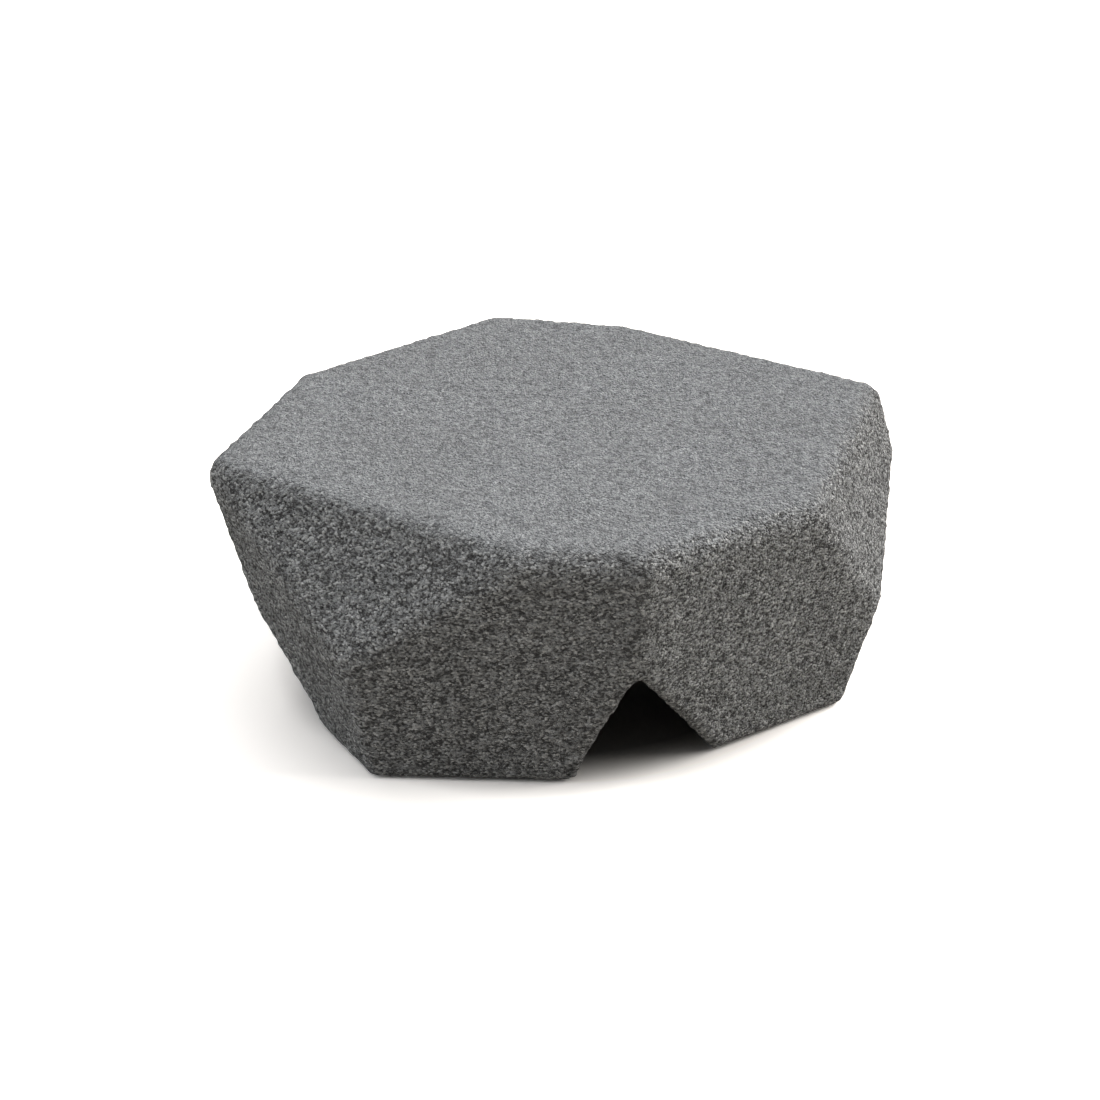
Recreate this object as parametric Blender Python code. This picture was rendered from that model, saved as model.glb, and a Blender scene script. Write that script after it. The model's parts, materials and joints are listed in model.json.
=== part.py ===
"""Faceted stone-look low table: one hollow moulded body on four feet, with its foot hardware."""
import math

import bmesh
import bpy
from mathutils import Matrix, Vector

# ---------------------------------------------------------------- driving dimensions (metres)
LENGTH = 0.834            # X, across the sharp corners before the edges are rounded
DEPTH = 0.7234            # Y, likewise
HEIGHT = 0.310            # floor to table top
WALL = 0.006              # moulded wall
EDGE_RADIUS = 0.028       # edges of the top and the sides
SOLE_RADIUS = 0.010       # edges of the foot soles
FOOT_DEPTH = 0.115        # outer base edge to the inner face of a foot
VAULT_TOP = 0.200         # height of the ceiling of the hollow between the feet
VAULT_DRAFT = 14.0        # degrees, the hollow narrows upwards

GLIDE_RADIUS = 0.018
GLIDE_THICK = 0.007
GLIDE_CHAMFER = 0.0015
GLIDE_STAND = 0.002       # how far a glide holds the sole off the floor
SCREW_RADIUS = 0.0025     # shank
SCREW_LENGTH = 0.015      # shank
HEAD_RADIUS = 0.0048
HEAD_THICK = 0.0026
HEAD_SINK = 0.0012        # head sits this far above the glide's rubbing face
SLOT_WIDTH = 0.0011       # cross slots in the screw head
SLOT_DEPTH = 0.0014
INSERT_RADIUS = 0.0055    # threaded insert
TIP_ROOM = 0.0015         # free bore past the screw's tip
FLANGE_RADIUS = 0.0085    # flange that locks the insert in the plastic
FLANGE_THICK = 0.0025
VENT_RADIUS = 0.010       # vent hole in the ceiling of the hollow
VENT_CAP_RADIUS = 0.015
VENT_CAP_THICK = 0.003
VENT_BARB = 0.0012        # how far the plug's barb catches past the hole
VENT_BARB_LENGTH = 0.006

FIT_GAP = 0.0003          # clearance between pieces that touch
HEAD_GAP = 0.0006         # clearance round a screw head
ROUND_SIDES = 32          # facets on a turned piece
EDGE_SEGMENTS = 4         # facets across a rounded edge
BLOCK = 3.0               # edge of the raw block that the planes cut

# ---------------------------------------------------------------- shape of the stone
# Corners as shares of LENGTH, DEPTH and HEIGHT, from the middle of the floor.
CORNERS = {
    "top_left": (-0.502, -0.142, 1.0),
    "top_back_left": (-0.402, 0.218, 1.0),
    "top_back": (-0.127, 0.490, 1.0),
    "top_back_right": (0.118, 0.436, 1.0),
    "top_right": (0.468, 0.174, 1.0),
    "top_front_right": (0.331, -0.333, 1.0),
    "top_front": (0.110, -0.510, 1.0),
    "top_front_left": (-0.030, -0.503, 1.0),
    "shoulder_right": (0.498, 0.145, 0.802),
    "waist_front_left": (-0.295, -0.450, 0.514),
    "waist_left": (-0.447, -0.183, 0.411),
    "waist_right": (0.447, -0.181, 0.440),
    "waist_back": (0.020, 0.491, 0.500),
    "base_left": (-0.340, -0.279, 0.0),
    "base_left_rear": (-0.348, -0.020, 0.0),
    "base_front_left": (-0.254, -0.429, 0.0),
    "base_front": (0.013, -0.437, 0.0),
    "base_front_right": (0.211, -0.342, 0.0),
    "base_right": (0.396, -0.169, 0.0),
    "base_right_mid": (0.402, 0.020, 0.0),
    "base_right_rear": (0.310, 0.220, 0.0),
    "base_back_right": (0.105, 0.391, 0.0),
    "base_back": (-0.085, 0.377, 0.0),
    "base_back_left": (-0.225, 0.230, 0.0),
}
# Each side facet is the plane through three corners.
FACETS = {
    "front_left": ("top_left", "top_front_left", "waist_front_left"),
    "front": ("top_front_left", "top_front", "base_front"),
    "front_right": ("top_front", "top_front_right", "base_front_right"),
    "right": ("top_front_right", "top_right", "waist_right"),
    "right_lower": ("shoulder_right", "waist_right", "base_right"),
    "left_front": ("top_left", "waist_front_left", "base_front_left"),
    "left": ("top_left", "top_back_left", "waist_left"),
    "back_left": ("top_back_left", "top_back", "base_back_left"),
    "back": ("top_back", "top_back_right", "waist_back"),
    "back_right": ("top_back_right", "top_right", "shoulder_right"),
}
# The facets that reach the floor: the hollow between the feet runs parallel to them.
FLOOR_FACETS = ("front", "front_right", "right_lower", "back_right", "back_left", "left",
                "left_front")
# Notches: the two facets whose crease they break, the height of the apex as a share of HEIGHT,
# their two feet, and the way they face in degrees from +X.
NOTCHES = {
    "front": ("front", "front_right", 0.480, "base_front", "base_front_right", -78.0),
    "right": ("right_lower", "back_right", 0.440, "base_right_mid", "base_right_rear", 27.0),
    "back": ("back_right", "back_left", 0.360, "base_back_right", "base_back", 94.0),
    "left": ("left", "left_front", 0.360, "base_left_rear", "base_left", 176.0),
}
# Feet: a corner on the floor inside each one picks its sole out.
FEET = {
    "front_left": ("base_front_left", "base_front"),
    "front_right": ("base_front_right", "base_right"),
    "back_right": ("base_right_rear", "base_back_right"),
    "back_left": ("base_back", "base_left_rear"),
}

UP = Vector((0.0, 0.0, 1.0))


# ---------------------------------------------------------------- helpers
def material(name, colour, roughness, metallic=0.0):
    """A Principled finish."""
    mat = bpy.data.materials.new(name)
    mat.use_nodes = True
    shader = mat.node_tree.nodes["Principled BSDF"]
    shader.inputs["Base Color"].default_value = (*colour, 1.0)
    shader.inputs["Roughness"].default_value = roughness
    shader.inputs["Metallic"].default_value = metallic
    return mat


def add_object(name, mesh, mat=None):
    """Link a mesh as an object of its own."""
    obj = bpy.data.objects.new(name, mesh)
    bpy.context.scene.collection.objects.link(obj)
    if mat:
        obj.data.materials.append(mat)
    return obj


def hide_tool(obj):
    """Mark an object as a cutter or a guide, which is no part of the table."""
    obj.hide_render = True
    obj.display_type = "WIRE"
    return obj


def boolean(obj, tool, operation):
    """Add an exact Boolean with a hidden tool."""
    mod = obj.modifiers.new(tool.name, "BOOLEAN")
    mod.operation = operation
    mod.solver = "EXACT"
    mod.object = hide_tool(tool)


def evaluated_mesh(obj):
    """A copy of an object's mesh with its modifiers applied."""
    depsgraph = bpy.context.evaluated_depsgraph_get()
    return bpy.data.meshes.new_from_object(obj.evaluated_get(depsgraph))


def turned_mesh(name, profile):
    """A turned solid from a closed outline of (radius, height) points."""
    bm = bmesh.new()
    verts = [bm.verts.new((radius, 0.0, height)) for radius, height in profile]
    edges = [bm.edges.new((a, b)) for a, b in zip(verts, verts[1:] + verts[:1])]
    bmesh.ops.spin(bm, geom=verts + edges, cent=(0, 0, 0), axis=UP, angle=math.tau,
                   steps=ROUND_SIDES, use_merge=True)
    bmesh.ops.remove_doubles(bm, verts=bm.verts[:], dist=1e-6)
    bmesh.ops.dissolve_degenerate(bm, edges=bm.edges[:], dist=1e-6)
    on_axis = [e for e in bm.edges if all(v.co.xy.length < 1e-6 for v in e.verts)]
    bmesh.ops.delete(bm, geom=on_axis, context="EDGES")
    bmesh.ops.recalc_face_normals(bm, faces=bm.faces[:])
    mesh = bpy.data.meshes.new(name)
    bm.to_mesh(mesh)
    bm.free()
    mesh.shade_smooth()
    mesh.set_sharp_from_angle(angle=math.radians(35))
    return mesh


# ---------------------------------------------------------------- planes of the stone
def corner(name):
    """A named corner in metres."""
    x, y, z = CORNERS[name]
    return Vector((x * LENGTH, y * DEPTH, z * HEIGHT))


def facet_plane(name):
    """Point and outward normal of a side facet."""
    a, b, c = (corner(key) for key in FACETS[name])
    normal = (b - a).cross(c - a).normalized()
    if normal.dot(Vector((0.0, 0.0, HEIGHT / 2)) - a) > 0:
        normal.negate()
    return a, normal


def stone_planes():
    """Planes of the whole stone, its top and its soles."""
    planes = [facet_plane(name) for name in FACETS]
    planes.append((UP * HEIGHT, UP))
    planes.append((UP * GLIDE_STAND, -UP))
    return planes


def notch_planes(facet_a, facet_b, apex_share, foot_a, foot_b, facing):
    """Planes of the wedge under an inverted V that runs in to the middle of the stone."""
    (point_a, normal_a), (point_b, normal_b) = facet_plane(facet_a), facet_plane(facet_b)
    crease = Matrix((normal_a, normal_b, UP)).inverted()
    apex = crease @ Vector((normal_a.dot(point_a), normal_b.dot(point_b), apex_share * HEIGHT))
    way_out = Vector((math.cos(math.radians(facing)), math.sin(math.radians(facing)), 0.0))
    planes = [(Vector(), -way_out)]
    for foot in (foot_a, foot_b):
        normal = (corner(foot) - apex).cross(way_out).normalized()
        if normal.z < 0:
            normal.negate()
        planes.append((apex, normal))
    return planes


def vault_planes():
    """Planes of the hollow between the feet, which narrows upwards."""
    draft = math.radians(VAULT_DRAFT)
    planes = [(UP * VAULT_TOP, UP)]
    for name in FLOOR_FACETS:
        point, normal = facet_plane(name)
        level = Vector((normal.x, normal.y, 0.0)).normalized()
        reach = normal.dot(point) / normal.dot(level) - FOOT_DEPTH
        planes.append((level * reach, level * math.cos(draft) + UP * math.sin(draft)))
    return planes


def cut_block(planes):
    """A convex solid: a block cut by planes."""
    bm = bmesh.new()
    bmesh.ops.create_cube(bm, size=BLOCK)
    for point, normal in planes:
        geom = bm.verts[:] + bm.edges[:] + bm.faces[:]
        cut = bmesh.ops.bisect_plane(bm, geom=geom, dist=1e-5, plane_co=point,
                                     plane_no=normal, clear_outer=True)
        rim = [item for item in cut["geom_cut"] if isinstance(item, bmesh.types.BMEdge)]
        bmesh.ops.contextual_create(bm, geom=rim)
    bmesh.ops.recalc_face_normals(bm, faces=bm.faces[:])
    return bm


def moved(planes, distance):
    """Planes moved along their normals."""
    return [(point + normal * distance, normal) for point, normal in planes]


def block_object(name, planes):
    """A convex solid as an object."""
    bm = cut_block(planes)
    mesh = bpy.data.meshes.new(name)
    bm.to_mesh(mesh)
    bm.free()
    return add_object(name, mesh)


# ---------------------------------------------------------------- the rounded stone
def fan_of_normals(vert):
    """Directions that round a corner off evenly, between the normals of its faces."""
    middle = sum((face.normal for face in vert.link_faces), Vector()).normalized()
    fan = [middle]
    for edge in vert.link_edges:
        start, end = (face.normal for face in edge.link_faces)
        for step in range(EDGE_SEGMENTS + 1):
            normal = start.slerp(end, step / EDGE_SEGMENTS)
            fan.append(normal)
            fan.append(middle.slerp(normal, 0.5) if (middle - normal).length > 1e-4 else middle)
    return fan


def rounded_corners(radius, shrink, wanted):
    """Points on the rounded corners of the stone that wanted picks by height."""
    bm = cut_block(moved(stone_planes(), -radius))
    points = [vert.co + normal * (radius - shrink) for vert in bm.verts
              if wanted(vert.co.z) for normal in fan_of_normals(vert)]
    bm.free()
    return points


def rounded_stone(name, shrink):
    """The whole stone with rounded edges, as the hull of its rounded corners."""
    above_soles = GLIDE_STAND + EDGE_RADIUS + 1e-4
    points = rounded_corners(EDGE_RADIUS, shrink, lambda height: height > above_soles)
    points += rounded_corners(SOLE_RADIUS, shrink, lambda height: height < above_soles)
    bm = bmesh.new()
    verts = [bm.verts.new(point) for point in points]
    hull = bmesh.ops.convex_hull(bm, input=verts)
    spare = {item for item in hull["geom_interior"] + hull["geom_unused"]
             if isinstance(item, bmesh.types.BMVert)}
    bmesh.ops.delete(bm, geom=list(spare), context="VERTS")
    bmesh.ops.remove_doubles(bm, verts=bm.verts[:], dist=1e-5)
    bmesh.ops.dissolve_limit(bm, angle_limit=0.003, verts=bm.verts[:], edges=bm.edges[:])
    bmesh.ops.recalc_face_normals(bm, faces=bm.faces[:])
    mesh = bpy.data.meshes.new(name)
    bm.to_mesh(mesh)
    bm.free()
    return add_object(name, mesh)


def carve_underside(obj, grow):
    """Cut the hollow between the feet and the notches, their walls moved out by grow."""
    cuts = {"vault": vault_planes()}
    cuts.update({name: notch_planes(*notch) for name, notch in NOTCHES.items()})
    for name, planes in cuts.items():
        tool = block_object(obj.name + "_" + name + "_tool", moved(planes, grow))
        boolean(obj, tool, "DIFFERENCE")


def sole_centres():
    """Middle of each foot's sole, from the sharp stone."""
    stone = block_object("stone_guide", stone_planes())
    carve_underside(stone, 0.0)
    bm = bmesh.new()
    bm.from_mesh(evaluated_mesh(stone))
    hide_tool(stone)
    bmesh.ops.dissolve_limit(bm, angle_limit=0.002, verts=bm.verts[:], edges=bm.edges[:])
    soles = [face.calc_center_median_weighted() for face in bm.faces
             if face.normal.z < -0.99 and face.calc_center_median().z < GLIDE_STAND + 1e-4]
    bm.free()
    centres = {}
    for foot, (corner_a, corner_b) in FEET.items():
        outer = (corner(corner_a) + corner(corner_b)) / 2
        nearest = min(soles, key=lambda sole: (sole - outer).length)
        centres[foot] = Vector((nearest.x, nearest.y, 0.0))
    return centres


# ---------------------------------------------------------------- heights of the foot hardware
HEAD_SEAT = HEAD_SINK + HEAD_THICK + FIT_GAP       # face in the glide that the head pulls on
SOCKET_TOP = GLIDE_THICK + FIT_GAP                 # roof of the glide's socket in the sole
SCREW_TIP = HEAD_SEAT - FIT_GAP + SCREW_LENGTH
BORE_TOP = SCREW_TIP + TIP_ROOM
INSERT_TOP = BORE_TOP + FLANGE_THICK
BOSS_RADIUS = GLIDE_RADIUS + FIT_GAP + WALL
BOSS_TOP = INSERT_TOP + FIT_GAP + WALL


def disc(radius, low, high):
    """Closed outline of a plain turned disc."""
    return [(0.0, low), (radius, low), (radius, high), (0.0, high)]


def glide_mesh():
    """A glide: a disc with a counterbored hole and a chamfered rubbing edge."""
    hole = SCREW_RADIUS + FIT_GAP
    counterbore = HEAD_RADIUS + HEAD_GAP
    return turned_mesh("glide", [
        (counterbore, 0.0), (GLIDE_RADIUS - GLIDE_CHAMFER, 0.0), (GLIDE_RADIUS, GLIDE_CHAMFER),
        (GLIDE_RADIUS, GLIDE_THICK), (hole, GLIDE_THICK), (hole, HEAD_SEAT),
        (counterbore, HEAD_SEAT)])


def screw_mesh():
    """A pan-head screw, head down, with a tapered tip."""
    top = HEAD_SEAT - FIT_GAP
    return turned_mesh("glide_screw", [
        (0.0, HEAD_SINK), (HEAD_RADIUS * 0.7, HEAD_SINK), (HEAD_RADIUS, HEAD_SINK + HEAD_THICK / 2),
        (HEAD_RADIUS, top), (SCREW_RADIUS, top), (SCREW_RADIUS, SCREW_TIP - SCREW_RADIUS / 2),
        (SCREW_RADIUS / 2, SCREW_TIP), (0.0, SCREW_TIP)])


def insert_mesh():
    """A blind threaded insert whose top flange locks it in the plastic."""
    bore = SCREW_RADIUS + FIT_GAP
    low = SOCKET_TOP
    return turned_mesh("insert", [
        (bore, low), (INSERT_RADIUS, low), (INSERT_RADIUS, INSERT_TOP - FLANGE_THICK),
        (FLANGE_RADIUS, INSERT_TOP - FLANGE_THICK), (FLANGE_RADIUS, INSERT_TOP),
        (0.0, INSERT_TOP), (0.0, BORE_TOP), (bore, BORE_TOP)])


def socket_mesh():
    """What a foot leaves free: the glide's socket and the pocket round the insert."""
    body = INSERT_RADIUS + FIT_GAP
    flange = FLANGE_RADIUS + FIT_GAP
    shoulder = INSERT_TOP - FLANGE_THICK - FIT_GAP
    return turned_mesh("socket_tool", [
        (0.0, -WALL), (GLIDE_RADIUS + FIT_GAP, -WALL), (GLIDE_RADIUS + FIT_GAP, SOCKET_TOP),
        (body, SOCKET_TOP), (body, shoulder), (flange, shoulder),
        (flange, INSERT_TOP + FIT_GAP), (0.0, INSERT_TOP + FIT_GAP)])


def vent_plug_mesh():
    """The snap-in plug of the vent hole: cap below the ceiling, barb above the wall."""
    stem = VENT_RADIUS - FIT_GAP
    barb = VENT_RADIUS + VENT_BARB
    cap_top = VAULT_TOP - FIT_GAP
    barb_low = VAULT_TOP + WALL + FIT_GAP
    top = barb_low + VENT_BARB_LENGTH
    return turned_mesh("vent_plug", [
        (0.0, cap_top - VENT_CAP_THICK), (VENT_CAP_RADIUS * 0.85, cap_top - VENT_CAP_THICK),
        (VENT_CAP_RADIUS, cap_top - VENT_CAP_THICK / 2), (VENT_CAP_RADIUS, cap_top),
        (stem, cap_top), (stem, barb_low), (barb, barb_low), (stem * 0.85, top), (0.0, top)])


def cross_slots(screw):
    """Cut the cross slots into the underside of a screw head."""
    for turn in (0.0, math.pi / 2):
        bm = bmesh.new()
        bmesh.ops.create_cube(bm, size=1.0)
        bmesh.ops.scale(bm, vec=(HEAD_RADIUS * 1.2, SLOT_WIDTH, SLOT_DEPTH * 2), verts=bm.verts)
        bmesh.ops.rotate(bm, matrix=Matrix.Rotation(turn, 3, "Z"), verts=bm.verts)
        bmesh.ops.translate(bm, vec=UP * HEAD_SINK, verts=bm.verts)
        mesh = bpy.data.meshes.new("slot_tool")
        bm.to_mesh(mesh)
        bm.free()
        slot = add_object(screw.name + "_slot_tool", mesh)
        slot.location = screw.location
        boolean(screw, slot, "DIFFERENCE")


# ---------------------------------------------------------------- the pieces
def moulded_shell(mat, centres):
    """The hollow body: even wall, bosses over the feet, sockets and the vent hole."""
    shell = rounded_stone("moulded_shell", 0.0)
    shell.data.materials.append(mat)
    carve_underside(shell, 0.0)
    cavity = rounded_stone("cavity_tool", WALL)
    carve_underside(cavity, WALL)
    boss_mesh = turned_mesh("boss", disc(BOSS_RADIUS, 0.0, BOSS_TOP))
    for foot, centre in centres.items():
        boss = add_object("boss_tool_" + foot, boss_mesh)
        boss.location = centre
        boolean(cavity, boss, "DIFFERENCE")
    boolean(shell, cavity, "DIFFERENCE")
    sockets = socket_mesh()
    for foot, centre in centres.items():
        socket = add_object("socket_tool_" + foot, sockets)
        socket.location = centre
        boolean(shell, socket, "DIFFERENCE")
    vent = turned_mesh("vent", disc(VENT_RADIUS, VAULT_TOP - WALL, VAULT_TOP + 2 * WALL))
    boolean(shell, add_object("vent_tool", vent), "DIFFERENCE")
    return shell


def build():
    """Model every piece of the table."""
    for obj in list(bpy.data.objects):
        bpy.data.objects.remove(obj)
    stone_grey = material("stone_grey_plastic", (0.115, 0.118, 0.120), 0.85)
    plug_grey = material("plug_plastic", (0.060, 0.062, 0.064), 0.6)
    glide_black = material("glide_plastic", (0.020, 0.020, 0.021), 0.5)
    zinc = material("zinc_steel", (0.560, 0.570, 0.580), 0.35, 1.0)
    brass = material("insert_brass", (0.620, 0.450, 0.180), 0.35, 1.0)

    centres = sole_centres()
    moulded_shell(stone_grey, centres)
    add_object("vent_plug", vent_plug_mesh(), plug_grey)
    pieces = {"glide": (glide_mesh(), glide_black), "screw": (screw_mesh(), zinc),
              "insert": (insert_mesh(), brass)}
    for foot, centre in centres.items():
        for kind, (mesh, mat) in pieces.items():
            piece = add_object(kind + "_" + foot, mesh, None if mesh.materials else mat)
            piece.location = centre
            if kind == "screw":
                cross_slots(piece)


build()
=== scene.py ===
import json
import math

import bmesh
import bpy
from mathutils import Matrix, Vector
from mathutils.kdtree import KDTree

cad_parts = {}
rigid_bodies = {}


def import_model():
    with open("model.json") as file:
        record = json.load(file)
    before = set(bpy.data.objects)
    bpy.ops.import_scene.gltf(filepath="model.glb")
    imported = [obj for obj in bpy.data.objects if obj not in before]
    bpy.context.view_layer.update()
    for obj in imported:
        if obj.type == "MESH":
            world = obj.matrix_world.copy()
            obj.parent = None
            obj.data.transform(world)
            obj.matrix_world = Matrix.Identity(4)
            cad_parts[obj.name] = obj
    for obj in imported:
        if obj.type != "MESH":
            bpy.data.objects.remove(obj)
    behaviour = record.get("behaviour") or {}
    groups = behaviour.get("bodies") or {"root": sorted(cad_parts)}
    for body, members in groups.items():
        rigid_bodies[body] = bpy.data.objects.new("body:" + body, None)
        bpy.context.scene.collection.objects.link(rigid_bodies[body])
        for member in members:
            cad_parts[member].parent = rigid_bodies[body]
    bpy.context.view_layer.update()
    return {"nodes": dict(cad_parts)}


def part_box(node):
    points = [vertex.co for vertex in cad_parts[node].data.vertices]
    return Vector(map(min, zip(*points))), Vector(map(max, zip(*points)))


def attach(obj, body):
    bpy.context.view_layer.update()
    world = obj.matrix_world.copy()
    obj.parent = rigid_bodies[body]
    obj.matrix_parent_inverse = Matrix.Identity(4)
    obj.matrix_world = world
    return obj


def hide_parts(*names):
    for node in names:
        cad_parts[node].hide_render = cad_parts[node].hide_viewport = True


bl_info = {
    "name": "Stone-look low table",
    "version": (1, 0, 0),
    "blender": (4, 5, 0),
    "location": "View3D > Sidebar > Low Table",
    "description": "Finishes a moulded stone-look low table and sets up its studio",
    "category": "Object",
}

for leftover in list(bpy.data.objects):
    bpy.data.objects.remove(leftover)
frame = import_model()

FEET = ("front_left", "front_right", "back_right", "back_left")

# ---------------------------------------------------------------- fixed sizes (metres)
DOUBLES = 1e-6            # vertices closer than this are merged
UPRIGHT = 0.3             # the normal of an upright face has less Z than this
LIP_ANGLE = 24.0          # degrees, edges sharper than this are notch edges
LIP_SHORTEST = 0.012      # shorter edges belong to the glide sockets
LIP_FLOOR = 0.004         # edges below this are the rims of the soles
LIP_STEP = 0.004          # spacing of the points along a notch edge
LIP_PLATEAU = 1.6         # more than 1 smooths a band beside the edge in full
SOLE_KEEP = 0.12          # share of the smoothing that reaches the sole
SOLE_TOP = 0.008          # below this only that share is left
SOLE_FADE = 0.035         # height over which the smoothing grows to full
SOLE_GRAIN = 0.5          # share of the grain's height on the soles
SOLE_BAND = 0.012         # height of the soles' calmer band
GLIDE_HEADROOM = 0.004    # the grain keeps clear of a glide this far above it
GLIDE_FADE = 0.010        # distance over which the grain grows beside a glide
PLUG_HEADROOM = 0.010     # the same, below the vent plug and beside it
PLUG_FADE = 0.012
POCKET_DROP = 0.010       # a pocket starts this far below its glide
POCKET_LAP = 0.002        # an insert's bore starts this far below its glide's top
PLUG_BORE_RADIUS = 0.0115   # the plug's barb with its clearance
PLUG_BORE_DEPTH = 0.012
CREASE_ANGLE = 50.0       # degrees, edges sharper than this are shaded sharp

# ---------------------------------------------------------------- finishes
CELL_SCALE = 340.0        # grains per metre
GRAIN_SCALE = 270.0       # bumps per metre of the fine noise
CLUMP_SCALE = 95.0        # bumps per metre of the middle noise
STAIN_SCALE = 9.0         # bumps per metre of the broad shading
GRAIN_SQUEEZE = (1.0, 1.0, 1.4)   # grains are a little flatter than wide
SKIN_BUMP = 0.018
STONE_ROUGHNESS = 0.82
STONE_SPECULAR = 0.4
PAPER_PAINTED_SHADOW = (0.25, 0.36)        # distance from the middle over which the painted shadow under the table fades to white

# ---------------------------------------------------------------- studio
# Each light: azimuth and elevation it shines from, how wide it is (degrees), and its colour.
SOFTBOXES = {
    "right": (14.0, 32.0, 50.0, (1.0, 0.985, 0.96)),
    "back": (95.0, 52.0, 60.0, (1.0, 1.0, 1.0)),
    "left": (196.0, 26.0, 50.0, (0.92, 0.96, 1.0)),
    "overhead": (0.0, 88.0, 80.0, (1.0, 1.0, 1.0)),
}
LAMP_DISTANCE = 3.0
SENSOR_WIDTH = 36.0       # millimetres
AIM = Vector((-0.0143, -0.0353, 0.15))   # what the camera looks at
AIM_LIFT = 0.0036         # and how far it looks above it


# ---------------------------------------------------------------- settings
class BodySettings(bpy.types.PropertyGroup):
    """Sizes of the moulded body's skin."""
    voxel: bpy.props.FloatProperty(
        name="Mesh Size", description="Edge length of the skin's mesh",
        default=0.0047, min=0.003, unit="LENGTH")
    lip_reach: bpy.props.FloatProperty(
        name="Lip Reach", description="How far from a notch's edge the skin is rounded off",
        default=0.034, unit="LENGTH")
    lip_rounds: bpy.props.IntProperty(
        name="Lip Rounds", description="Smoothing steps along the notches' edges", default=34)
    grain: bpy.props.FloatProperty(
        name="Grain", description="Height of the coarse grain", default=0.0045, unit="LENGTH")
    grain_size: bpy.props.FloatProperty(
        name="Grain Size", description="Width of one coarse grain", default=0.009, unit="LENGTH")
    swell: bpy.props.FloatProperty(
        name="Swell", description="Height of the wide, shallow unevenness",
        default=0.0016, unit="LENGTH")
    swell_size: bpy.props.FloatProperty(
        name="Swell Size", description="Width of one wide swell", default=0.060, unit="LENGTH")
    seat_gap: bpy.props.FloatProperty(
        name="Seat Gap", description="Clearance round the foot hardware and the plug",
        default=0.0003, unit="LENGTH")


def colour_prop(name, description, default):
    """A colour setting."""
    return bpy.props.FloatVectorProperty(name=name, description=description, default=default,
                                         size=3, subtype="COLOR", min=0.0, max=1.0)


class FinishSettings(bpy.types.PropertyGroup):
    """Colours of the finishes."""
    # hollows between the grains on the sides, much darker than on the top: painted shade in the
    # hollows
    side_hollow_painted_shade: colour_prop(
        "Side Dark", "Hollows between the grains on the sides", (0.062, 0.062, 0.063))
    side_light: colour_prop("Side Light", "Grains on the sides", (0.410, 0.413, 0.418))
    # brightest grains on the sides: light grains lifted to near white as painted glints
    side_speck_and_glint: colour_prop("Side Speck", "Brightest grains on the sides", (0.95, 0.95, 0.94))
    # darkest pits on the sides: painted shade in the pits
    side_pit_painted_shade: colour_prop("Side Pit", "Darkest pits on the sides", (0.030, 0.030, 0.030))
    top_dark: colour_prop(
        "Top Dark", "Hollows between the grains on the top", (0.185, 0.189, 0.196))
    top_light: colour_prop("Top Light", "Grains on the top", (0.365, 0.374, 0.386))
    # brightest grains on the top: light grains lifted as painted glints, weaker than on the
    # sides
    top_speck_and_glint: colour_prop("Top Speck", "Brightest grains on the top", (0.62, 0.63, 0.64))
    stain: colour_prop("Stain", "Broad, faint shading of the skin", (0.165, 0.160, 0.155))
    glide: colour_prop("Glide", "Plastic of the floor glides", (0.020, 0.020, 0.021))
    plug: colour_prop("Plug", "Plastic of the vent plug", (0.060, 0.062, 0.064))
    zinc: colour_prop("Zinc", "Plating of the screws", (0.56, 0.57, 0.58))
    brass: colour_prop("Brass", "Metal of the inserts", (0.62, 0.45, 0.18))


class StageSettings(bpy.types.PropertyGroup):
    """The studio."""
    floor_size: bpy.props.FloatProperty(
        name="Floor Size", description="Side of the floor", default=30.0, unit="LENGTH")
    right: bpy.props.FloatProperty(
        name="Right Light", description="Strength of the soft light on the right", default=3.8)
    back: bpy.props.FloatProperty(
        name="Back Light", description="Strength of the soft light at the back", default=0.9)
    left: bpy.props.FloatProperty(
        name="Left Light", description="Strength of the soft light on the left", default=1.2)
    overhead: bpy.props.FloatProperty(
        name="Overhead Light", description="Strength of the soft light overhead", default=1.2)
    fill: bpy.props.FloatProperty(
        name="Fill Light", description="Strength of the even light all round", default=0.10)
    elevation: bpy.props.FloatProperty(
        name="Camera Elevation", description="Angle of the camera above the floor",
        default=math.radians(26.5), subtype="ANGLE")
    distance: bpy.props.FloatProperty(
        name="Camera Distance", description="Camera to target", default=3.0, unit="LENGTH")
    lens: bpy.props.FloatProperty(
        name="Lens", description="Focal length in millimetres", default=81.9)


# ---------------------------------------------------------------- material helpers
def new_material(name, colour, roughness, metallic=0.0):
    """A Principled finish, with its nodes, links and shader."""
    mat = bpy.data.materials.new(name)
    mat.use_nodes = True
    nodes, links = mat.node_tree.nodes, mat.node_tree.links
    shader = nodes["Principled BSDF"]
    shader.inputs["Base Color"].default_value = (*colour, 1.0)
    shader.inputs["Roughness"].default_value = roughness
    shader.inputs["Metallic"].default_value = metallic
    return mat, nodes, links, shader


def noise(nodes, links, coords, scale, detail, roughness, distortion=0.0):
    """A noise in object coordinates, about 1 / scale metres from bump to bump."""
    node = nodes.new("ShaderNodeTexNoise")
    node.inputs["Scale"].default_value = scale
    node.inputs["Detail"].default_value = detail
    node.inputs["Roughness"].default_value = roughness
    node.inputs["Distortion"].default_value = distortion
    links.new(coords, node.inputs["Vector"])
    return node.outputs["Fac"]


def ramp(nodes, links, value, low, high, out_low=0.0, out_high=1.0):
    """value from low..high to out_low..out_high, clamped."""
    node = nodes.new("ShaderNodeMapRange")
    for socket, number in zip(("From Min", "From Max", "To Min", "To Max"),
                              (low, high, out_low, out_high)):
        node.inputs[socket].default_value = number
    links.new(value, node.inputs["Value"])
    return node.outputs["Result"]


def maths(nodes, links, operation, a, b):
    """A Math node on two values, each a socket or a number."""
    node = nodes.new("ShaderNodeMath")
    node.operation = operation
    for socket, value in zip(node.inputs, (a, b)):
        if isinstance(value, (int, float)):
            socket.default_value = value
        else:
            links.new(value, socket)
    return node.outputs["Value"]


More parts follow.
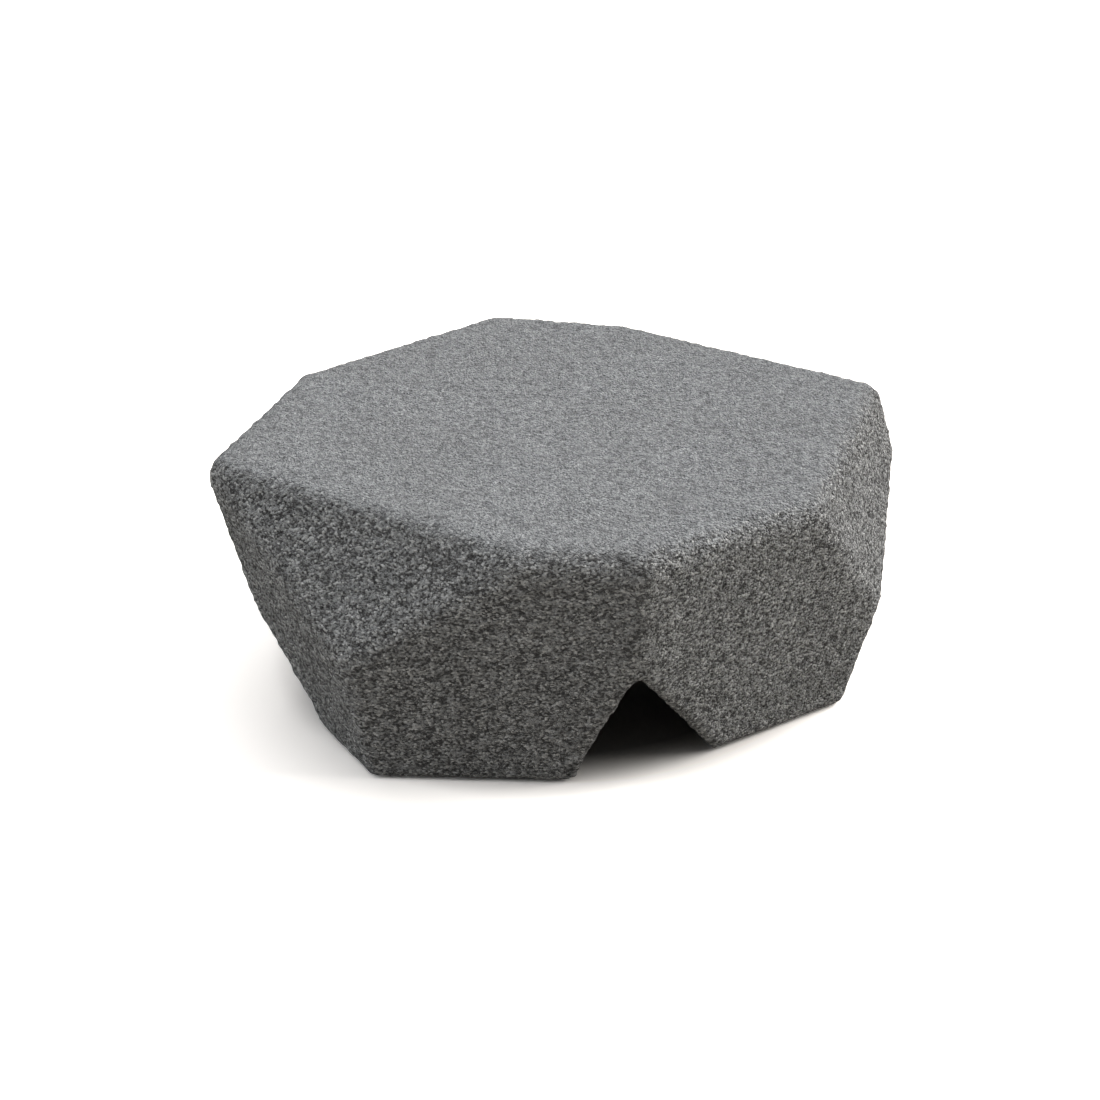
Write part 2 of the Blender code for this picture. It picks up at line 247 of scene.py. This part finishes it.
def mix_colour(nodes, links, factor, a, b):
    """Mix two colours by a factor."""
    node = nodes.new("ShaderNodeMix")
    node.data_type = "RGBA"
    links.new(factor, node.inputs["Factor"])
    for socket, value in ((node.inputs[6], a), (node.inputs[7], b)):
        if isinstance(value, tuple):
            socket.default_value = (*value, 1.0)
        else:
            links.new(value, socket)
    return node.outputs[2]


def add_bump(nodes, links, shader, height, distance, strength=1.0):
    """Bump the shader's normal by a height."""
    bump = nodes.new("ShaderNodeBump")
    bump.inputs["Strength"].default_value = strength
    bump.inputs["Distance"].default_value = distance
    links.new(height, bump.inputs["Height"])
    links.new(bump.outputs["Normal"], shader.inputs["Normal"])


def stone_material(cfg):
    """The granular skin: grains of uneven height and tone, with painted shade in the hollows and
    pits and painted glints on the sides, calmer on the level top.
    """
    mat, nodes, links, shader = new_material("stone_skin_grain", (0.24, 0.245, 0.25),
                                             STONE_ROUGHNESS)
    shader.inputs["Specular IOR Level"].default_value = STONE_SPECULAR
    coords = nodes.new("ShaderNodeTexCoord").outputs["Object"]
    squeeze = nodes.new("ShaderNodeMapping")
    squeeze.inputs["Scale"].default_value = GRAIN_SQUEEZE
    links.new(coords, squeeze.inputs["Vector"])
    squeezed = squeeze.outputs["Vector"]
    cells = nodes.new("ShaderNodeTexVoronoi")
    cells.inputs["Scale"].default_value = CELL_SCALE
    links.new(squeezed, cells.inputs["Vector"])
    cell_shade = nodes.new("ShaderNodeSeparateColor")
    links.new(cells.outputs["Color"], cell_shade.inputs["Color"])
    bright_cell, dark_cell = cell_shade.outputs["Red"], cell_shade.outputs["Green"]
    # faces pointing up get the calm top colours, the rest the sides' painted shade and glints
    geometry = nodes.new("ShaderNodeNewGeometry")
    split = nodes.new("ShaderNodeSeparateXYZ")
    links.new(geometry.outputs["True Normal"], split.inputs["Vector"])
    up_facing_less_painted_shade = ramp(nodes, links, split.outputs["Z"], 0.55, 0.95)

    # height of the grains
    grains = noise(nodes, links, squeezed, GRAIN_SCALE, 2.0, 0.65, 0.6)
    clumps = noise(nodes, links, squeezed, CLUMP_SCALE, 2.0, 0.5, 0.5)
    height = maths(nodes, links, "ADD", maths(nodes, links, "MULTIPLY", grains, 0.6),
                   maths(nodes, links, "MULTIPLY", clumps, 0.4))
    domes = maths(nodes, links, "MULTIPLY", cells.outputs["Distance"], -0.25)
    add_bump(nodes, links, shader, maths(nodes, links, "ADD", height, domes), SKIN_BUMP)

    # tone of the grains, on the sides and on the top: the sides are a shaded copy with painted
    # shade in the hollows and pits, the upward faces a calmer copy
    shades = maths(nodes, links, "ADD", maths(nodes, links, "MULTIPLY", grains, 0.65),
                   maths(nodes, links, "MULTIPLY", clumps, 0.35))
    grain = ramp(nodes, links, shades, 0.43, 0.56)
    side = mix_colour(nodes, links, grain, tuple(cfg.side_hollow_painted_shade), tuple(cfg.side_light))
    # light grains brightened as painted glints on the sides
    speck_and_glint = ramp(nodes, links, bright_cell, 0.70, 0.92, 0.0, 0.60)
    side = mix_colour(nodes, links, speck_and_glint, side, tuple(cfg.side_speck_and_glint))
    # random cells on the sides darkened as painted shade in pits
    pit_painted_shade = ramp(nodes, links, dark_cell, 0.72, 0.90, 0.0, 0.80)
    side = mix_colour(nodes, links, pit_painted_shade, side, tuple(cfg.side_pit_painted_shade))
    top = mix_colour(nodes, links, grain, tuple(cfg.top_dark), tuple(cfg.top_light))
    # light grains brightened as painted glints on the top
    speck_and_glint = ramp(nodes, links, bright_cell, 0.70, 1.0, 0.0, 0.55)
    top = mix_colour(nodes, links, speck_and_glint, top, tuple(cfg.top_speck_and_glint))
    # lit and shaded copies of the skin, chosen by how far the face points up
    skin = mix_colour(nodes, links, up_facing_less_painted_shade, side, top)

    # broad shading
    broad = noise(nodes, links, coords, STAIN_SCALE, 3.0, 0.5)
    stain = ramp(nodes, links, broad, 0.30, 0.70, 0.0, 0.16)
    skin = mix_colour(nodes, links, stain, skin, tuple(cfg.stain))
    links.new(skin, shader.inputs["Base Color"])
    links.new(ramp(nodes, links, grains, 0.35, 0.65, 0.92, 0.70), shader.inputs["Roughness"])
    return mat


def plastic_material(name, colour, roughness):
    """Moulded plastic with a faint texture."""
    mat, nodes, links, shader = new_material(name, colour, roughness)
    coords = nodes.new("ShaderNodeTexCoord").outputs["Object"]
    spark = noise(nodes, links, coords, 900.0, 2.0, 0.5)
    add_bump(nodes, links, shader, spark, 0.0002, 0.5)
    wear = noise(nodes, links, coords, 120.0, 3.0, 0.6)
    links.new(ramp(nodes, links, wear, 0.3, 0.7, roughness - 0.08, roughness + 0.1),
              shader.inputs["Roughness"])
    tint = ramp(nodes, links, wear, 0.45, 0.75, 0.0, 0.35)
    links.new(mix_colour(nodes, links, tint, colour, tuple(c * 1.8 + 0.01 for c in colour)),
              shader.inputs["Base Color"])
    return mat


def metal_material(name, colour, roughness):
    """Turned or plated metal with fine marks."""
    mat, nodes, links, shader = new_material(name, colour, roughness, 1.0)
    coords = nodes.new("ShaderNodeTexCoord").outputs["Object"]
    marks = noise(nodes, links, coords, 1500.0, 2.0, 0.5)
    add_bump(nodes, links, shader, marks, 0.00005, 0.4)
    blush = noise(nodes, links, coords, 260.0, 3.0, 0.6)
    links.new(ramp(nodes, links, blush, 0.3, 0.7, roughness - 0.08, roughness + 0.12),
              shader.inputs["Roughness"])
    tint = ramp(nodes, links, blush, 0.4, 0.7)
    links.new(mix_colour(nodes, links, tint, colour, tuple(c * 0.8 for c in colour)),
              shader.inputs["Base Color"])
    return mat


def paper_material():
    """White paper that looks overexposed and throws less light back on the table.

    Camera rays see the paper painted darker under the table, a painted shadow round the feet.
    What is seen of it is the sum of two whites.
    """
    mat, nodes, links, shader = new_material("studio_paper", (0.45, 0.425, 0.385), 0.95)
    shader.inputs["Specular IOR Level"].default_value = 0.0
    coords = nodes.new("ShaderNodeTexCoord").outputs["Object"]
    reach = nodes.new("ShaderNodeVectorMath")
    reach.operation = "LENGTH"
    links.new(coords, reach.inputs[0])
    # mask of the painted shadow under the table: 0 near the middle, 1 on the open floor
    outside_painted_shadow = ramp(nodes, links, reach.outputs["Value"], *PAPER_PAINTED_SHADOW)
    whites = []
    for full in ((0.90, 0.875, 0.85), (0.72, 0.69, 0.66)):
        white = nodes.new("ShaderNodeBsdfDiffuse")
        # near-black colour of the painted shadow under the table, fading to the full white
        # outside
        links.new(mix_colour(nodes, links, outside_painted_shadow, (0.12, 0.115, 0.11), full),
                  white.inputs["Color"])
        whites.append(white.outputs["BSDF"])
    both = nodes.new("ShaderNodeAddShader")
    seen = nodes.new("ShaderNodeMixShader")
    for socket, white in zip(both.inputs, whites):
        links.new(white, socket)
    links.new(nodes.new("ShaderNodeLightPath").outputs["Is Camera Ray"], seen.inputs["Fac"])
    links.new(shader.outputs["BSDF"], seen.inputs[1])
    links.new(both.outputs["Shader"], seen.inputs[2])
    links.new(seen.outputs["Shader"], nodes["Material Output"].inputs["Surface"])
    return mat


# ---------------------------------------------------------------- mesh helpers
def add_piece(name, bm, mat):
    """Link a bmesh as a piece that rides on the body."""
    mesh = bpy.data.meshes.new(name)
    bm.to_mesh(mesh)
    bm.free()
    mesh.materials.append(mat)
    obj = bpy.data.objects.new(name, mesh)
    bpy.context.scene.collection.objects.link(obj)
    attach(obj, "root")
    return obj


def apply_modifiers(obj):
    """Replace an object's mesh by its evaluated one."""
    depsgraph = bpy.context.evaluated_depsgraph_get()
    mesh = bpy.data.meshes.new_from_object(obj.evaluated_get(depsgraph))
    obj.modifiers.clear()
    obj.data = mesh


def outer_skin(node):
    """A merged copy of the hollow body's outside, with the vent hole closed."""
    bm = bmesh.new()
    bm.from_mesh(node.data)
    bmesh.ops.remove_doubles(bm, verts=bm.verts[:], dist=DOUBLES)
    plug_low, plug_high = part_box("vent_plug")
    middle = (plug_low + plug_high) / 2
    reach = (plug_high - plug_low).x / 2
    bore = [f for f in bm.faces if abs(f.normal.z) < UPRIGHT
            and (f.calc_center_median() - middle).xy.length < reach
            and plug_low.z < f.calc_center_median().z < plug_high.z]
    bmesh.ops.delete(bm, geom=bore, context="FACES")
    start = min(bm.verts, key=lambda v: v.co.z)
    found, waiting = {start}, [start]
    while waiting:
        vert = waiting.pop()
        for edge in vert.link_edges:
            other = edge.other_vert(vert)
            if other not in found:
                found.add(other)
                waiting.append(other)
    inside = [v for v in bm.verts if v not in found]
    bmesh.ops.delete(bm, geom=inside, context="VERTS")
    bmesh.ops.holes_fill(bm, edges=[e for e in bm.edges if e.is_boundary], sides=0)
    bmesh.ops.recalc_face_normals(bm, faces=bm.faces[:])
    return bm


def sharp_edge_tree(bm, limit):
    """Points along the edges that are sharper than limit, outside the glide sockets."""
    points = []
    for edge in bm.edges:
        if len(edge.link_faces) == 2 and edge.calc_face_angle(0.0) > limit:
            a, b = (v.co for v in edge.verts)
            if (a - b).length > LIP_SHORTEST and max(a.z, b.z) > LIP_FLOOR:
                steps = max(1, int((a - b).length / LIP_STEP))
                points += [a.lerp(b, i / steps) for i in range(steps + 1)]
    tree = KDTree(len(points))
    for i, point in enumerate(points):
        tree.insert(point, i)
    tree.balance()
    return tree


def share(value, least=0.0):
    """value, kept between least and 1."""
    return max(least, min(1.0, value))


def weight_group(obj, name, weigh):
    """A vertex group whose weights weigh gives from a vertex's place."""
    group = obj.vertex_groups.new(name=name)
    for vert in obj.data.vertices:
        weight = weigh(vert.co)
        if weight > 0.001:
            group.add([vert.index], weight, "REPLACE")
    return group


def displace(obj, name, kind, size, strength, group):
    """Displace an object along its normals by a noise in its own coordinates."""
    texture = bpy.data.textures.new(name, kind)
    texture.noise_scale = size
    if kind == "CLOUDS":
        texture.noise_depth = 2
    mod = obj.modifiers.new(name, "DISPLACE")
    mod.texture = texture
    mod.texture_coords = "LOCAL"
    mod.strength = strength
    mod.mid_level = 0.5
    mod.vertex_group = group


def cylinder(bm, centre, radius, low, high, sides=64):
    """Add an upright cylinder."""
    made = bmesh.ops.create_cone(bm, cap_ends=True, segments=sides, radius1=radius,
                                 radius2=radius, depth=high - low)
    bmesh.ops.translate(bm, vec=Vector((centre.x, centre.y, (low + high) / 2)),
                        verts=made["verts"])


# ---------------------------------------------------------------- operators
class LOWTABLE_OT_body(bpy.types.Operator):
    """Build the moulded body's visible skin"""
    bl_idname = "lowtable.body"
    bl_label = "Build Moulded Body"

    def execute(self, context):
        cfg = context.scene.lowtable_body
        bm = outer_skin(frame["nodes"]["moulded_shell"])
        lips = sharp_edge_tree(bm, math.radians(LIP_ANGLE))
        stone = stone_material(context.scene.lowtable_finish)
        body = add_piece("moulded_body", bm, stone)
        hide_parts("moulded_shell")
        remesh = body.modifiers.new("Remesh", "REMESH")
        remesh.mode = "VOXEL"
        remesh.voxel_size = cfg.voxel
        remesh.use_smooth_shade = True
        apply_modifiers(body)

        glides = [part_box("glide_" + foot) for foot in FEET]
        plug_low, plug_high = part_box("vent_plug")

        def near_lip(co):
            gap = lips.find(co)[2] / cfg.lip_reach
            above_sole = share((co.z - SOLE_TOP) / SOLE_FADE, SOLE_KEEP)
            return share(LIP_PLATEAU * (1.0 - gap)) * above_sole

        def clear_of_hardware(co):
            weight = SOLE_GRAIN if co.z < SOLE_BAND else 1.0
            for low, high in glides:
                if co.z < high.z + GLIDE_HEADROOM:
                    gap = (co - (low + high) / 2).xy.length - (high - low).x / 2
                    weight = min(weight, max(0.0, gap / GLIDE_FADE))
            if plug_low.z - PLUG_HEADROOM < co.z < plug_high.z:
                gap = co.xy.length - (plug_high - plug_low).x / 2
                weight = min(weight, max(0.0, gap / PLUG_FADE))
            return weight

        weight_group(body, "lips", near_lip)
        smooth = body.modifiers.new("Smooth", "SMOOTH")
        smooth.factor = 0.5
        smooth.iterations = cfg.lip_rounds
        smooth.vertex_group = "lips"
        apply_modifiers(body)
        weight_group(body, "free", clear_of_hardware)
        displace(body, "swell", "CLOUDS", cfg.swell_size, cfg.swell, "free")
        displace(body, "grain", "CLOUDS", cfg.grain_size, cfg.grain, "free")
        apply_modifiers(body)

        pockets = bmesh.new()
        for foot, (low, high) in zip(FEET, glides):
            centre = (low + high) / 2
            insert_low, insert_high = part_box("insert_" + foot)
            cylinder(pockets, centre, (high - low).x / 2 + cfg.seat_gap,
                     low.z - POCKET_DROP, high.z + cfg.seat_gap)
            cylinder(pockets, centre, (insert_high - insert_low).x / 2 + cfg.seat_gap,
                     high.z - POCKET_LAP, insert_high.z + cfg.seat_gap)
        cylinder(pockets, (plug_low + plug_high) / 2, PLUG_BORE_RADIUS,
                 plug_high.z - PLUG_BORE_DEPTH, plug_high.z + cfg.seat_gap)
        mesh = bpy.data.meshes.new("pocket_tool")
        pockets.to_mesh(mesh)
        pockets.free()
        tool = bpy.data.objects.new("pocket_tool", mesh)
        context.scene.collection.objects.link(tool)
        cut = body.modifiers.new("Pockets", "BOOLEAN")
        cut.operation = "DIFFERENCE"
        cut.solver = "EXACT"
        cut.use_self = True
        cut.object = tool
        apply_modifiers(body)
        bpy.data.objects.remove(tool)
        for poly in body.data.polygons:
            poly.use_smooth = True
        body.data.set_sharp_from_angle(angle=math.radians(CREASE_ANGLE))
        return {"FINISHED"}


class LOWTABLE_OT_hardware(bpy.types.Operator):
    """Finish the glides, screws, inserts and the vent plug"""
    bl_idname = "lowtable.hardware"
    bl_label = "Finish Hardware"

    def execute(self, context):
        cfg = context.scene.lowtable_finish
        finishes = {
            "glide": (plastic_material("glide_black", tuple(cfg.glide), 0.5), "glide_plastic"),
            "screw": (metal_material("zinc_plated", tuple(cfg.zinc), 0.34), "zinc_steel"),
            "insert": (metal_material("turned_brass", tuple(cfg.brass), 0.32), "insert_brass"),
        }
        pieces = {kind + "_" + foot: finish for kind, finish in finishes.items()
                  for foot in FEET}
        pieces["vent_plug"] = (plastic_material("plug_grey", tuple(cfg.plug), 0.55),
                               "plug_plastic")
        for name, (mat, slot) in pieces.items():
            node = frame["nodes"][name]
            node.data.materials.clear()
            node.data.materials.append(mat)
        return {"FINISHED"}


class LOWTABLE_OT_stage(bpy.types.Operator):
    """Set up the floor, the lights and the camera"""
    bl_idname = "lowtable.stage"
    bl_label = "Set Up Studio"

    def execute(self, context):
        cfg = context.scene.lowtable_stage
        scene = context.scene
        bm = bmesh.new()
        bmesh.ops.create_grid(bm, x_segments=1, y_segments=1, size=cfg.floor_size / 2)
        mesh = bpy.data.meshes.new("studio_floor")
        bm.to_mesh(mesh)
        bm.free()
        floor = bpy.data.objects.new("studio_floor", mesh)
        scene.collection.objects.link(floor)
        floor.data.materials.append(paper_material())

        world = bpy.data.worlds.new("studio_world")
        scene.world = world
        world.use_nodes = True
        background = world.node_tree.nodes["Background"]
        background.inputs["Color"].default_value = (1.0, 1.0, 1.0, 1.0)
        background.inputs["Strength"].default_value = cfg.fill

        for side, (azimuth, elevation, spread, colour) in SOFTBOXES.items():
            light = bpy.data.lights.new(side + "_softbox", "SUN")
            light.energy = getattr(cfg, side)
            light.angle = math.radians(spread)
            light.color = colour
            lamp = bpy.data.objects.new(side + "_softbox", light)
            az, el = math.radians(azimuth), math.radians(elevation)
            towards = Vector((math.cos(az) * math.cos(el), math.sin(az) * math.cos(el),
                              math.sin(el)))
            lamp.location = towards * LAMP_DISTANCE
            lamp.rotation_euler = towards.to_track_quat("Z", "Y").to_euler()
            scene.collection.objects.link(lamp)

        data = bpy.data.cameras.new("camera")
        data.sensor_width = SENSOR_WIDTH
        data.lens = cfg.lens
        data.dof.use_dof = False
        camera = bpy.data.objects.new("camera", data)
        back = Vector((0.0, -math.cos(cfg.elevation), math.sin(cfg.elevation)))
        up = Vector((0.0, math.sin(cfg.elevation), math.cos(cfg.elevation)))
        camera.location = AIM + up * AIM_LIFT + back * cfg.distance
        camera.rotation_euler = back.to_track_quat("Z", "Y").to_euler()
        scene.collection.objects.link(camera)
        scene.camera = camera

        scene.view_settings.view_transform = "Standard"
        scene.view_settings.look = "None"
        scene.view_settings.exposure = 0.0
        scene.view_settings.gamma = 1.0
        return {"FINISHED"}


class LOWTABLE_PT_panel(bpy.types.Panel):
    """Sidebar panel of the low table"""
    bl_label = "Low Table"
    bl_idname = "LOWTABLE_PT_panel"
    bl_space_type = "VIEW_3D"
    bl_region_type = "UI"
    bl_category = "Low Table"

    def draw(self, context):
        layout = self.layout
        for title, group, operator in (
                ("Body", context.scene.lowtable_body, LOWTABLE_OT_body),
                ("Finishes", context.scene.lowtable_finish, LOWTABLE_OT_hardware),
                ("Studio", context.scene.lowtable_stage, LOWTABLE_OT_stage)):
            box = layout.box()
            box.label(text=title)
            for name in group.__annotations__:
                box.prop(group, name)
            box.operator(operator.bl_idname)


CLASSES = (BodySettings, FinishSettings, StageSettings, LOWTABLE_OT_body,
           LOWTABLE_OT_hardware, LOWTABLE_OT_stage, LOWTABLE_PT_panel)


def register():
    for cls in CLASSES:
        bpy.utils.register_class(cls)
    bpy.types.Scene.lowtable_body = bpy.props.PointerProperty(type=BodySettings)
    bpy.types.Scene.lowtable_finish = bpy.props.PointerProperty(type=FinishSettings)
    bpy.types.Scene.lowtable_stage = bpy.props.PointerProperty(type=StageSettings)


def unregister():
    del bpy.types.Scene.lowtable_stage
    del bpy.types.Scene.lowtable_finish
    del bpy.types.Scene.lowtable_body
    for cls in reversed(CLASSES):
        bpy.utils.unregister_class(cls)


def main():
    register()
    bpy.ops.lowtable.body()
    bpy.ops.lowtable.hardware()
    bpy.ops.lowtable.stage()


if __name__ == "__main__":
    main()
